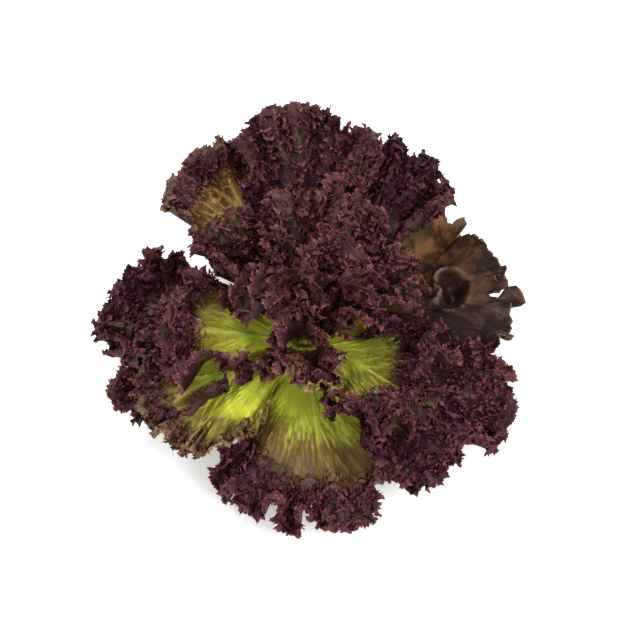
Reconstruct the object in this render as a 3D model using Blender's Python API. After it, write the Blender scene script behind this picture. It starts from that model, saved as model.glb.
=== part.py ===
"""A head of lollo rosso lettuce, standing on its cut stem.

Every leaf is a thin waved blade of its own round one short stem. A leaf lies on a cup, the surface that its
midrib's arc sweeps round the stem's axis, and is set by where its tip is. Leaves are in tiers: the cups of a tier
start higher up the stem and stand steeper than those of the tier below, so the cups never cross. Waves lift the
blade off its cup, and each wave is held to less than half the way to the nearest other leaf.
Metres, +Z up. The origin is the middle of the stem's cut face, and the front of the head faces -Y.
"""

import math
from collections import namedtuple

import bmesh
import bpy
import numpy as np
from mathutils import Vector
from mathutils.bvhtree import BVHTree

SEED = 7

# The stem
STEM_RADIUS = 0.0140
STEM_TIP_RADIUS = 0.0026
STEM_HEIGHT = 0.050
STEM_EDGE = 0.0008
STEM_SIDES = 28
STEM_RINGS = 9

# The leaves' attachment
CLEARANCE = 0.0005
FIRST_TIER_HEIGHT = 0.0060
TIER_STEP = 0.0062
BASE_HALF_ANGLE = 20.0
BASE_SHARE = 0.85

# The blade
BLADE_THICKNESS = 0.0007
RIB_THICKNESS = 0.0032
RIB_THINNING = 0.0003
RIB_HALF_SHARE = 0.20
RIB_FADE = 1.5
BASE_SWELL = 0.5
BASE_FADE = 6
WIDEST_SHARE = 0.54
SIDE_POWER = 0.78
TIP_POWER = 0.62
FAN_POWER = 1.1
MARGIN_TURN = 114.0
CALM_TURN = 42.0
MARGIN_STEP = 0.0053
ROWS = ((0.0, 12), (0.26, 6), (0.50, 4), (0.70, 2), (0.86, 1), (1.0, 1))

# The waves: wavelength along the margin, height, and where along the blade the wave starts
WAVES = ((0.055, 0.0095, 0.28), (0.0235, 0.0070, 0.60))
WAVE_DRIFT = 0.9
DRIFT_RATE = 0.31
LEAST_GAP = 0.0014
SHARE_OF_GAP = 0.44
TREE_COLUMNS = 40
TREE_ROWS = 12

# The cut margin: fine teeth on most leaves, and broad lobes on the brown one
TOOTH_DEPTH = 0.0036
LOBE_DEPTH = 0.0085
LOBE_WIDTH = 0.017
LOBE_START = 0.70
LOBE_DRIFT = 0.2

Leaf = namedtuple("Leaf", "name tier azimuth tip_radius tip_height half_angle arch")
# Azimuths, half angles and arches are in degrees. An azimuth of 270 is the front, and 0 is the right.
LEAVES = (
    Leaf("outer_leaf_front", 0, 276, 0.127, 0.014, 38, 14),
    Leaf("outer_leaf_right", 0, 20, 0.127, 0.030, 42, 14),
    Leaf("outer_leaf_back", 0, 103, 0.116, 0.018, 33, 14),
    Leaf("outer_leaf_left", 0, 185, 0.128, 0.028, 35, 14),
    Leaf("second_leaf_front_left", 1, 213, 0.114, 0.036, 33, 15),
    Leaf("second_leaf_front_right", 1, 323, 0.138, 0.037, 28, 15),
    Leaf("second_leaf_back_right", 1, 58, 0.124, 0.074, 25, 15),
    Leaf("second_leaf_back_left", 1, 120, 0.123, 0.071, 28, 15),
    Leaf("third_leaf_back", 2, 90, 0.115, 0.102, 30, 15),
    Leaf("third_leaf_left", 2, 194, 0.090, 0.060, 34, 16),
    Leaf("third_leaf_front_right", 2, 320, 0.098, 0.052, 37, 16),
    Leaf("fourth_leaf_front", 3, 268, 0.050, 0.057, 38, 20),
    Leaf("fourth_leaf_right", 3, 10, 0.067, 0.084, 29, 20),
    Leaf("fourth_leaf_back_right", 3, 64, 0.072, 0.098, 23, 20),
    Leaf("fourth_leaf_back_left", 3, 144, 0.068, 0.087, 34, 20),
    Leaf("fifth_leaf_front", 4, 266, 0.036, 0.077, 32, 22),
    Leaf("fifth_leaf_right", 4, 343, 0.044, 0.095, 33, 24),
    Leaf("fifth_leaf_back", 4, 88, 0.054, 0.111, 40, 24),
    Leaf("fifth_leaf_left", 4, 170, 0.034, 0.095, 38, 24),
    Leaf("heart_leaf_front", 5, 272, 0.023, 0.093, 50, 20),
    Leaf("heart_leaf_back_left", 5, 146, 0.027, 0.110, 50, 20),
    Leaf("heart_leaf_back_right", 5, 36, 0.029, 0.111, 50, 20),
    Leaf("inner_leaf_left", 6, 206, 0.010, 0.103, 52, 10),
    Leaf("inner_leaf_right", 6, 330, 0.011, 0.107, 52, 10),
    Leaf("inner_leaf_back", 6, 88, 0.010, 0.116, 52, 10),
)

INNER_GREEN = (0.36, 0.47, 0.09, 1.0)
LEAF_RED = (0.11, 0.025, 0.04, 1.0)
LEAF_BROWN = (0.16, 0.085, 0.04, 1.0)
BROWN_LEAF = "outer_leaf_right"


def clear_scene():
    for thing in list(bpy.data.objects):
        bpy.data.objects.remove(thing)


def plain_material(name, color, roughness):
    material = bpy.data.materials.new(name)
    material.use_nodes = True
    shader = material.node_tree.nodes["Principled BSDF"]
    shader.inputs["Base Color"].default_value = color
    shader.inputs["Roughness"].default_value = roughness
    return material


def smooth_step(x):
    x = np.clip(x, 0.0, 1.0)
    return x * x * (3.0 - 2.0 * x)


def signed_power(x, power):
    return np.sign(x) * np.abs(x) ** power


def stem_radius(height):
    """The stem tapers slowly at first, then closes to its tip."""
    share = min(max(height / STEM_HEIGHT, 0.0), 1.0)
    return STEM_RADIUS - (STEM_RADIUS - STEM_TIP_RADIUS) * share**1.7


class Sheet:
    """One leaf's blade before its waves: tau goes round the margin from one side of the base to the other, in
    degrees from the tip, and v from the base to the margin."""

    def __init__(self, leaf):
        self.leaf = leaf
        base_z = FIRST_TIER_HEIGHT + TIER_STEP * leaf.tier
        arch = math.radians(leaf.arch)
        self.rib = RIB_THICKNESS - RIB_THINNING * leaf.tier
        self.base_half_angle = min(BASE_HALF_ANGLE, BASE_SHARE * leaf.half_angle)
        base_r = stem_radius(base_z - self.rib) + CLEARANCE
        chord = math.atan2(leaf.tip_height - base_z, leaf.tip_radius - base_r)
        self.start = chord + arch
        self.base_z = base_z
        self.base_r = base_r + 0.5 * BLADE_THICKNESS
        reach = math.hypot(leaf.tip_radius - self.base_r, leaf.tip_height - base_z)
        self.length = reach * arch / math.sin(arch)
        self.curvature = 2.0 * arch / self.length
        self.find_margin()

    def profile(self, t):
        """Radius, height and slope after a length t along the midrib's arc."""
        slope = self.start - self.curvature * t
        r = self.base_r + (math.sin(self.start) - np.sin(slope)) / self.curvature
        z = self.base_z + (np.cos(slope) - math.cos(self.start)) / self.curvature
        return r, z, slope

    def place(self, tau, v):
        """Points and upward normals at arrays tau and v."""
        turn = np.radians(tau)
        margin_angle = self.leaf.half_angle * signed_power(np.sin(turn), SIDE_POWER)
        margin_t = WIDEST_SHARE + (1.0 - WIDEST_SHARE) * signed_power(np.cos(turn), TIP_POWER)
        base_angle = self.base_half_angle * tau / MARGIN_TURN
        angle = base_angle + (margin_angle - base_angle) * v**FAN_POWER
        r, z, slope = self.profile(self.length * margin_t * v)
        around = np.radians(self.leaf.azimuth + angle)
        points = np.stack([r * np.cos(around), r * np.sin(around), z], axis=-1)
        tilt = -np.sin(slope)
        normals = np.stack([tilt * np.cos(around), tilt * np.sin(around), np.cos(slope)], axis=-1)
        return points, normals

    def find_margin(self):
        """Finds the margin's length, so that columns can be spaced evenly along it."""
        self.margin_tau = np.linspace(-MARGIN_TURN, MARGIN_TURN, 401)
        edge, _ = self.place(self.margin_tau, np.ones_like(self.margin_tau))
        steps = np.linalg.norm(np.diff(edge, axis=0), axis=1)
        run = np.concatenate([[0.0], np.cumsum(steps)])
        self.margin_length = run[-1]
        self.margin_share = run / run[-1]

    def tau_at(self, share):
        return np.interp(share, self.margin_share, self.margin_tau)

    def tree(self):
        """The plain sheet as a search tree, for distances from other leaves."""
        width = TREE_COLUMNS + 1
        share, v = np.meshgrid(np.linspace(0, 1, width), np.linspace(0, 1, TREE_ROWS + 1))
        points, _ = self.place(self.tau_at(share), v)
        corners = [row * width + column for row in range(TREE_ROWS) for column in range(TREE_COLUMNS)]
        quads = [(a, a + 1, a + width + 1, a + width) for a in corners]
        return BVHTree.FromPolygons(points.reshape(-1, 3).tolist(), quads)


def room_round(points, other_trees):
    """How far each point may move and still stay clear of the other leaves."""
    room = []
    for point in points:
        place = Vector(point)
        nearest = min(tree.find_nearest(place)[3] for tree in other_trees)
        room.append(max(nearest - LEAST_GAP, 0.0) * SHARE_OF_GAP)
    return np.array(room)


def wave_height(share, v, margin_length, rng):
    """The waves' lift and its greatest size, at arrays share and v, before they are calmed beside the base."""
    lift = np.zeros_like(v)
    most = np.zeros_like(v)
    for wavelength, height, first in WAVES:
        count = margin_length / wavelength
        phase, drift_phase = rng.uniform(0.0, 2.0 * math.pi, 2)
        drift = WAVE_DRIFT * np.sin(2.0 * math.pi * count * DRIFT_RATE * share + drift_phase)
        growth = height * smooth_step((v - first) / (1.0 - first))
        lift += growth * np.sin(2.0 * math.pi * count * share + phase + drift)
        most += growth
    return lift, most


def calm(tau):
    """How much of a wave is left: all of it round the margin, and none where the margin meets the base."""
    return smooth_step((MARGIN_TURN - np.abs(tau)) / CALM_TURN)


def skin_normals(points, skin):
    """The waved skin's own normals, so that the blade keeps its thickness on a wave's steep sides."""
    corners = points[np.array(skin)]
    faces = np.cross(corners[:, 1] - corners[:, 0], corners[:, 2] - corners[:, 0])
    normals = np.zeros_like(points)
    for corner in range(3):
        np.add.at(normals, np.array(skin)[:, corner], faces)
    return normals / np.linalg.norm(normals, axis=1, keepdims=True)


def lobe_cut(share, v, margin_length, rng):
    """How far the bays between the broad lobes cut into the margin."""
    count = round(margin_length / LOBE_WIDTH)
    turn = math.pi * (count * share + rng.uniform(-LOBE_DRIFT, LOBE_DRIFT))
    return LOBE_DEPTH * (1.0 - np.abs(np.sin(turn))) * smooth_step((v - LOBE_START) / (1.0 - LOBE_START))


def rib_swell(tau, v, rib):
    """The midrib's extra thickness: it is widest and thickest at the base, and fades along the blade."""
    across = np.exp(-((tau / MARGIN_TURN / RIB_HALF_SHARE) ** 2))
    along = (1.0 - v) ** RIB_FADE
    beside = BASE_SWELL * (1.0 - v) ** BASE_FADE
    return (rib - BLADE_THICKNESS) * (across * along + (1.0 - across) * beside)


def zip_rows(lower, upper):
    """Triangles between two rows of vertex numbers of any two counts."""
    faces = []
    i = j = 0
    while i < len(lower) - 1 or j < len(upper) - 1:
        step_lower = (i + 1) / (len(lower) - 1)
        step_upper = (j + 1) / (len(upper) - 1)
        if step_lower <= step_upper:
            faces.append((lower[i], upper[j], lower[i + 1]))
            i += 1
        else:
            faces.append((lower[i], upper[j], upper[j + 1]))
            j += 1
    return faces


def leaf_mesh(sheet, other_trees, rng):
    """The closed blade: an upper and a lower skin with the same triangles, and a rim round them."""
    widest_stride = ROWS[0][1]
    most_columns = widest_stride * max(2, round(sheet.margin_length / MARGIN_STEP / widest_stride))
    rows, share, v = [], [], []
    for height, stride in ROWS:
        columns = most_columns // stride
        rows.append(list(range(len(share), len(share) + columns + 1)))
        share.extend(np.linspace(0.0, 1.0, columns + 1))
        v.extend([height] * (columns + 1))
    share, v = np.array(share), np.array(v)
    tau = sheet.tau_at(share)
    lift, most = wave_height(share, v, sheet.margin_length, rng)
    cut = np.zeros_like(v)
    inner_edge = slice(rows[-1][0] + 1, rows[-1][-1], 2)
    cut[inner_edge] = TOOTH_DEPTH * rng.uniform(0.4, 1.0, len(cut[inner_edge]))
    if sheet.leaf.name == BROWN_LEAF:
        cut += lobe_cut(share, v, sheet.margin_length, rng)
    points, normals = sheet.place(tau, v - cut / sheet.length)
    held = np.minimum(1.0, room_round(points, other_trees) / np.maximum(most, 1e-9))
    points = points + normals * (lift * held * calm(tau))[:, None]
    points[:, 2] = np.maximum(points[:, 2], 0.5 * BLADE_THICKNESS)
    skin = [face for a, b in zip(rows, rows[1:]) for face in zip_rows(a, b)]
    normals = skin_normals(points, skin)
    half = 0.5 * BLADE_THICKNESS
    upper = points + normals * half
    lower = points - normals * (half + rib_swell(tau, v, sheet.rib))[:, None]
    lower[:, 2] = np.maximum(lower[:, 2], 0.0)
    count = len(points)
    rim = rows[0][::-1] + [row[0] for row in rows[1:]] + rows[-1][1:] + [row[-1] for row in rows[-2:0:-1]]
    faces = list(skin)
    faces += [(a + count, c + count, b + count) for a, b, c in skin]
    for a, b in zip(rim, rim[1:] + rim[:1]):
        faces += [(a, b, b + count), (a, b + count, a + count)]
    return np.concatenate([upper, lower]), faces


def add_object(name, points, faces, material):
    mesh = bpy.data.meshes.new(name)
    mesh.from_pydata([tuple(p) for p in points], [], faces)
    work = bmesh.new()
    work.from_mesh(mesh)
    bmesh.ops.recalc_face_normals(work, faces=work.faces)
    work.to_mesh(mesh)
    work.free()
    mesh.materials.append(material)
    mesh.shade_smooth()
    thing = bpy.data.objects.new(name, mesh)
    bpy.context.scene.collection.objects.link(thing)
    return thing


def add_stem(material):
    """The cut stem: a turned, tapering solid with a flat cut face that the head stands on."""
    work = bmesh.new()
    heights = [STEM_EDGE + (STEM_HEIGHT - STEM_EDGE) * i / (STEM_RINGS - 1) for i in range(STEM_RINGS)]
    outline = [(0.0, 0.0), (STEM_RADIUS - STEM_EDGE, 0.0)]
    outline += [(stem_radius(z), z) for z in heights]
    outline.append((0.0, STEM_HEIGHT + 0.5 * STEM_TIP_RADIUS))
    verts = [work.verts.new((r, 0.0, z)) for r, z in outline]
    edges = [work.edges.new(pair) for pair in zip(verts, verts[1:])]
    bmesh.ops.spin(
        work, geom=verts + edges, cent=(0, 0, 0), axis=(0, 0, 1), angle=2 * math.pi, steps=STEM_SIDES, use_merge=True
    )
    bmesh.ops.remove_doubles(work, verts=work.verts, dist=1e-6)
    bmesh.ops.recalc_face_normals(work, faces=work.faces)
    mesh = bpy.data.meshes.new("stem")
    work.to_mesh(mesh)
    work.free()
    mesh.materials.append(material)
    mesh.shade_smooth()
    mesh.set_sharp_from_angle(angle=math.radians(40))
    stem = bpy.data.objects.new("stem", mesh)
    bpy.context.scene.collection.objects.link(stem)


def main():
    clear_scene()
    add_stem(plain_material("stem_flesh", INNER_GREEN, 0.5))
    red = plain_material("red_leaf", LEAF_RED, 0.5)
    brown = plain_material("brown_leaf", LEAF_BROWN, 0.5)
    sheets = [Sheet(leaf) for leaf in LEAVES]
    trees = [sheet.tree() for sheet in sheets]
    for number, sheet in enumerate(sheets):
        rng = np.random.default_rng(SEED + number)
        others = trees[:number] + trees[number + 1 :]
        points, faces = leaf_mesh(sheet, others, rng)
        leaf = sheet.leaf
        add_object(leaf.name, points, faces, brown if leaf.name == BROWN_LEAF else red)


main()
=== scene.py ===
"""The looks of a head of lollo rosso lettuce.

Each packed leaf is replaced by a fine one on the same sheet and the same large waves. Its outer band curls
and carries frills, and its inner part has raised veins. Narrow ruffled folds stand on the red part of it, one
behind the other, and one more goes all round the margin: together they make the head's dense frills.
Metres, +Z up. The origin is the middle of the stem's cut face, and the front of the head faces -Y.
"""

import math
from collections import namedtuple

import bpy
import numpy as np
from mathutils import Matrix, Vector
from mathutils.bvhtree import BVHTree

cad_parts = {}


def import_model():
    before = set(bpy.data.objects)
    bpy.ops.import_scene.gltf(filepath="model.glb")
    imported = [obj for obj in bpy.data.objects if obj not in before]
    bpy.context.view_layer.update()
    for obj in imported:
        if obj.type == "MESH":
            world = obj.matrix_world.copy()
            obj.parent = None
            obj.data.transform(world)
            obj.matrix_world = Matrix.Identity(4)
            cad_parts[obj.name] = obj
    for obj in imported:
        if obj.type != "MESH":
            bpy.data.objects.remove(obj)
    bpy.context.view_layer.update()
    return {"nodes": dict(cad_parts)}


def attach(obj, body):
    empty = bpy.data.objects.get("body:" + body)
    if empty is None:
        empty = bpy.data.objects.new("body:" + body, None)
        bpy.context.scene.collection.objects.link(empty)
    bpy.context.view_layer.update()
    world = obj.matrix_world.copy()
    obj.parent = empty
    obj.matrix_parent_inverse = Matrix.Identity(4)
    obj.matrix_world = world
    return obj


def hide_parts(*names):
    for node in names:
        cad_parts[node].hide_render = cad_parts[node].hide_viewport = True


# The head's form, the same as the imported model's
SEED = 7
SHAPE_SEED = 1000
FOLD_SEED = 2000
VEIN_SEED = 3000
STEM_RADIUS = 0.0140
STEM_TIP_RADIUS = 0.0026
STEM_HEIGHT = 0.050
STEM_TAPER = 1.7
CLEARANCE = 0.0005
FIRST_TIER_HEIGHT = 0.0060
TIER_STEP = 0.0062
BASE_HALF_ANGLE = 20.0
BASE_SHARE = 0.85
BLADE_THICKNESS = 0.0007
RIB_THICKNESS = 0.0032
RIB_THINNING = 0.0003
RIB_HALF_SHARE = 0.20
RIB_FADE = 1.5
BASE_SWELL = 0.5
BASE_FADE = 6
WIDEST_SHARE = 0.54
SIDE_POWER = 0.78
TIP_POWER = 0.62
FAN_POWER = 1.1
MARGIN_TURN = 114.0
MARGIN_SAMPLES = 401
CALM_TURN = 42.0
WAVES = ((0.055, 0.0095, 0.28), (0.0235, 0.0070, 0.60))
WAVE_DRIFT = 0.9
DRIFT_RATE = 0.31
LEAST_GAP = 0.0014
SHARE_OF_GAP = 0.44
TREE_COLUMNS = 40
TREE_ROWS = 12
LOBE_DEPTH = 0.0085
LOBE_WIDTH = 0.017
LOBE_START = 0.70
LOBE_DRIFT = 0.2

TURN = 2.0 * math.pi

# The least vector length, and the least wave height, that anything is divided by
SHORTEST = 1e-12
LOWEST = 1e-9

# A smooth random line is a sum of sines. Each is faster than the one before by about this much, and smaller.
WANDER_STEP = 1.63
WANDER_SPREAD = (0.85, 1.15)
WANDER_FADE = 0.8
WANDER_SIZE = 1.7

# How a size varies along a line: its mean, how far it strays, how fast beside the line's rate, and its limits
Vary = namedtuple("Vary", "mean span rate least most")

# Some lower leaves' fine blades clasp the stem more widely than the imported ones, to close gaps between them
CLASPING_HALF_ANGLES = {
    "outer_leaf_front": 44.0,
    "outer_leaf_back": 56.0,
    "outer_leaf_left": 56.0,
    "second_leaf_front_left": 30.0,
}

# The fine blade's grid: columns spaced along the margin, and rows that lie closest together beside it. One
# column of a row takes in as many of the margin's columns as its stride says: more of them further in.
MARGIN_STEP = 0.00145
VEINED_STEP = 0.00060
VEINED = 0.65
FIRST_ROW_STEP = 0.0013
ROW_GROWTH = 1.09
PLAIN_ROW_GROWTH = 1.02
BAND_REACH = 0.043
STRIDES = ((0.016, 1), (BAND_REACH, 2))
WIDEST_STRIDE = 2
INNER_ROWS = 12
BAND_SHARE = 0.80
FINE_THICKNESS = 0.00040
ROOM_COLUMNS = 48
ROOM_ROWS = 14

# The outer band's curl: up and back over the leaf where it is positive. Mean and span are shares of its turn.
CURL_REACH = 0.030
CURL_TURN = 2.3
CURL_LENGTH = 0.043
CURL_MEANS = (0.36, 0.36, 0.30, 0.15, -0.05, -0.20, -0.10)
CURL_SPAN = 0.62
CURL_RATE = 0.6
CURL_SINES = 3
LEAST_CURL = -0.75
MOST_CURL = 1.0

# The blade's own frills: how long and high they are, how far in they reach, and how far they swing along the
# margin and outwards, as shares of their height
FRILL_LENGTH = 0.0118
FRILL_HEIGHT = 0.0038
FRILL_REACH = 0.030
FRILL_SIDEWAYS = 0.50
FRILL_OUTWARD = 0.30
FRILL_LAG = 0.6
FRILL_BENDS = ((0.9, 0.21), (0.5, 0.09))
FRILL_SIZE = Vary(1.0, 0.35, 0.17, 0.45, 1.6)
FRILL_START = Vary(1.0, 0.20, 0.30, 0.6, 1.4)
FRILL_ROOM = 3.0
LEAST_FRILL = 0.55

# The ruffled folds: one all round the margin, and others that stand on the red band behind it
FOLD_SPACING = 0.0028
FOLD_COUNT = 13
FOLD_STEP = 0.00046
FOLD_ROWS = 2
FOLD_WANDER = 0.0019
FOLD_WANDER_COLUMNS = 26.0
FOLD_STRENGTH = Vary(0.9, 0.8, 0.06, 0.0, 1.0)
FOLD_HEIGHT = 0.0032
FOLD_LEAN = 0.55
FOLD_LEAN_RATE = 0.07
ROOT_FRINGE = 0.25
LEAST_FOLD = 0.12
LEAST_FOLDED = 0.6
EDGE_HEIGHT = 0.0036
RUFFLE_LENGTH = 0.0021
RUFFLE_HEIGHT = 0.00100
RUFFLE_SIZE = Vary(1.0, 0.4, 0.13, 0.4, 1.7)
RUFFLE_BEND = 2.6
RUFFLE_BEND_RATE = 0.11
RUFFLE_GROWTH = 1.2
RUFFLE_SLIDE = 0.7
RUFFLE_NOD = 0.4
RUFFLE_NOD_LAG = 0.8
SWAY_LENGTH = 4.0
SWAY_HEIGHT = 0.0018
SWAY_BEND = 1.5
SWAY_BEND_RATE = 0.05
TOOTH_DEPTH = 0.0004
TOOTH_SHARES = (0.2, 1.0)

# The veins: the midrib, the branches that leave it and the twigs that fork from those. The three's widths are
# in vein widths. Where they leave and how soon they are full is in shares of the blade.
VEIN_SPACING = 0.050
VEIN_WIDTH = 0.00095
VEIN_HEIGHT = 0.0016
MIDRIB_WIDTH = 2.6
MIDRIB_THINNING = 1.6
BRANCH_WIDTH = 0.8
BRANCH_STRENGTH = 0.9
BRANCH_LEAVES = 0.35
BRANCH_SPREAD = (0.88, 1.0)
BRANCH_RUN = 1.15
BRANCH_GROWTH = 0.25
TWIG_WIDTH = 0.55
TWIG_STRENGTH = 0.75
TWIG_LEAVES = (0.35, 0.70)
TWIG_BEND = 0.6
TWIG_GROWTH = 0.04
TWIG_SWERVE = 0.070
VEIN_SWAY = 0.005
VEIN_SWAYS = 9.0
VEINS_FROM = 0.12
PLEAT_LENGTH = 0.055
PLEAT_HEIGHT = 0.0010
PLEAT_SINES = 3
PLEATS_FULL = 0.3
RIDGE_ROOM = 0.0060

# The brown leaf: its lobes are drawn out to hooked tips, and a cup lies in its blade
TIP_LENGTH = 0.0062
TIP_REACH = 0.022
TIP_SHARPNESS = 4.0
TIP_RATE = 0.45
TIP_SIZE = Vary(0.8, 0.9, TIP_RATE, 0.0, 2.0)
TIP_HOOK = Vary(0.0, 1.6, TIP_RATE, -1.6, 1.6)
TIP_LIFT = 0.3
JAG_HEIGHT = 0.0009
JAG_LENGTH = 0.0060
JAG_SHARPNESS = 4
BAY_DEPTH = Vary(0.55, 0.9, 1.0, 0.15, 1.0)
BAY_LENGTH = 0.060
BROWN_WAVE_SHARE = 0.30
CUP_SHARE = 0.47
CUP_V = 0.74
CUP_RADIUS = 0.0120
CUP_STRETCH = 0.50
CUP_WOBBLE = 0.12
CUP_WOBBLES = 3.0
CUP_WOBBLE_TURN = 1.0
CUP_DEPTH = 0.0120
CUP_RIM_HEIGHT = 0.0050
CUP_RIM_WIDTH = 0.0016
CUP_RIM_MEAN = 0.6
CUP_RIM_LEAN = 0.4
CUP_YOUTH = 0.70
BROWN_VEIN_SHARE = 0.15

Leaf = namedtuple("Leaf", "name tier azimuth tip_radius tip_height half_angle arch")
LEAVES = (
    Leaf("outer_leaf_front", 0, 276, 0.127, 0.014, 38, 14),
    Leaf("outer_leaf_right", 0, 20, 0.127, 0.030, 42, 14),
    Leaf("outer_leaf_back", 0, 103, 0.116, 0.018, 33, 14),
    Leaf("outer_leaf_left", 0, 185, 0.128, 0.028, 35, 14),
    Leaf("second_leaf_front_left", 1, 213, 0.114, 0.036, 33, 15),
    Leaf("second_leaf_front_right", 1, 323, 0.138, 0.037, 28, 15),
    Leaf("second_leaf_back_right", 1, 58, 0.124, 0.074, 25, 15),
    Leaf("second_leaf_back_left", 1, 120, 0.123, 0.071, 28, 15),
    Leaf("third_leaf_back", 2, 90, 0.115, 0.102, 30, 15),
    Leaf("third_leaf_left", 2, 194, 0.090, 0.060, 34, 16),
    Leaf("third_leaf_front_right", 2, 320, 0.098, 0.052, 37, 16),
    Leaf("fourth_leaf_front", 3, 268, 0.050, 0.057, 38, 20),
    Leaf("fourth_leaf_right", 3, 10, 0.067, 0.084, 29, 20),
    Leaf("fourth_leaf_back_right", 3, 64, 0.072, 0.098, 23, 20),
    Leaf("fourth_leaf_back_left", 3, 144, 0.068, 0.087, 34, 20),
    Leaf("fifth_leaf_front", 4, 266, 0.036, 0.077, 32, 22),
    Leaf("fifth_leaf_right", 4, 343, 0.044, 0.095, 33, 24),
    Leaf("fifth_leaf_back", 4, 88, 0.054, 0.111, 40, 24),
    Leaf("fifth_leaf_left", 4, 170, 0.034, 0.095, 38, 24),
    Leaf("heart_leaf_front", 5, 272, 0.023, 0.093, 50, 20),
    Leaf("heart_leaf_back_left", 5, 146, 0.027, 0.110, 50, 20),
    Leaf("heart_leaf_back_right", 5, 36, 0.029, 0.111, 50, 20),
    Leaf("inner_leaf_left", 6, 206, 0.010, 0.103, 52, 10),
    Leaf("inner_leaf_right", 6, 330, 0.011, 0.107, 52, 10),
    Leaf("inner_leaf_back", 6, 88, 0.010, 0.116, 52, 10),
)
BROWN_LEAF = "outer_leaf_right"

# How a leaf looks: where along the blade the red begins and where it is full, how much further out that is on
# the side that its azimuth grows to, where the blade begins to turn olive and how olive it gets, how strongly
# its veins show, how dark and warm its red is, how pale its margin is, and how frilled and curled it is
Look = namedtuple("Look", "red_from red_full slant olive_from olive veins dark warm pale frill curl")
USUAL_LOOK = Look(0.24, 0.42, 0.0, 0.08, 0.4, 0.5, 0.40, 0.5, 0.0, 1.0, 1.0)
LOOKS = {
    "outer_leaf_front": Look(0.60, 0.82, 0.28, 0.34, 0.95, 0.35, 0.35, 0.1, 0.0, 1.0, 0.8),
    "outer_leaf_right": Look(0.30, 0.55, 0.0, 0.10, 0.80, 0.9, 0.60, 0.5, 0.0, 0.22, 0.3),
    "outer_leaf_left": Look(0.36, 0.60, 0.0, 0.20, 0.50, 0.5, 0.65, 0.0, 0.0, 1.0, 1.0),
    "outer_leaf_back": Look(0.36, 0.60, 0.0, 0.20, 0.50, 0.5, 0.60, 0.1, 0.0, 1.0, 1.0),
    "second_leaf_front_left": Look(0.74, 0.92, 0.40, 0.52, 0.75, 0.8, 0.35, 0.2, 0.4, 0.90, 0.5),
    "second_leaf_front_right": Look(0.42, 0.62, -0.25, 0.25, 0.40, 0.5, 0.55, 0.1, 0.0, 1.0, 0.7),
    "second_leaf_back_right": Look(0.38, 0.58, 0.0, 0.20, 0.40, 0.5, 0.95, 0.1, 0.0, 1.0, 0.8),
    "second_leaf_back_left": Look(0.74, 0.90, 0.10, 0.36, 1.0, 1.0, 0.35, 0.0, 0.2, 0.90, 0.5),
    "third_leaf_left": Look(0.62, 0.80, -0.10, 0.30, 0.60, 0.6, 0.25, 0.3, 0.0, 1.0, 0.8),
    "third_leaf_front_right": Look(0.54, 0.72, -0.12, 0.34, 0.50, 0.9, 0.40, 0.1, 0.0, 1.0, 0.8),
    "third_leaf_back": Look(0.42, 0.62, 0.0, 0.20, 0.50, 0.5, 0.50, 0.2, 0.0, 1.0, 0.6),
    "fourth_leaf_front": Look(0.24, 0.56, 0.0, 0.0, 0.85, 0.5, 0.0, 0.5, 0.7, 1.0, 0.1),
    "fifth_leaf_front": Look(0.20, 0.40, 0.0, 0.02, 0.80, 0.5, 0.30, 0.5, 0.0, 1.0, 1.0),
}

# A fine blade as a grid of points, and one line across such a grid
Blade = namedtuple("Blade", "points along outward normal share v vein distance calm strides inward")
Line = namedtuple("Line", "points along outward normal share v calm")


def smooth_step(x):
    x = np.clip(x, 0.0, 1.0)
    return x * x * (3.0 - 2.0 * x)


def smooth_between(x, low, high):
    return smooth_step((x - low) / (high - low))


def signed_power(x, power):
    return np.sign(x) * np.abs(x) ** power


def unit(vectors):
    return vectors / np.maximum(np.linalg.norm(vectors, axis=-1, keepdims=True), SHORTEST)


def stem_radius(height):
    """The stem tapers slowly at first, then closes to its tip."""
    share = min(max(height / STEM_HEIGHT, 0.0), 1.0)
    return STEM_RADIUS - (STEM_RADIUS - STEM_TIP_RADIUS) * share**STEM_TAPER


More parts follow.
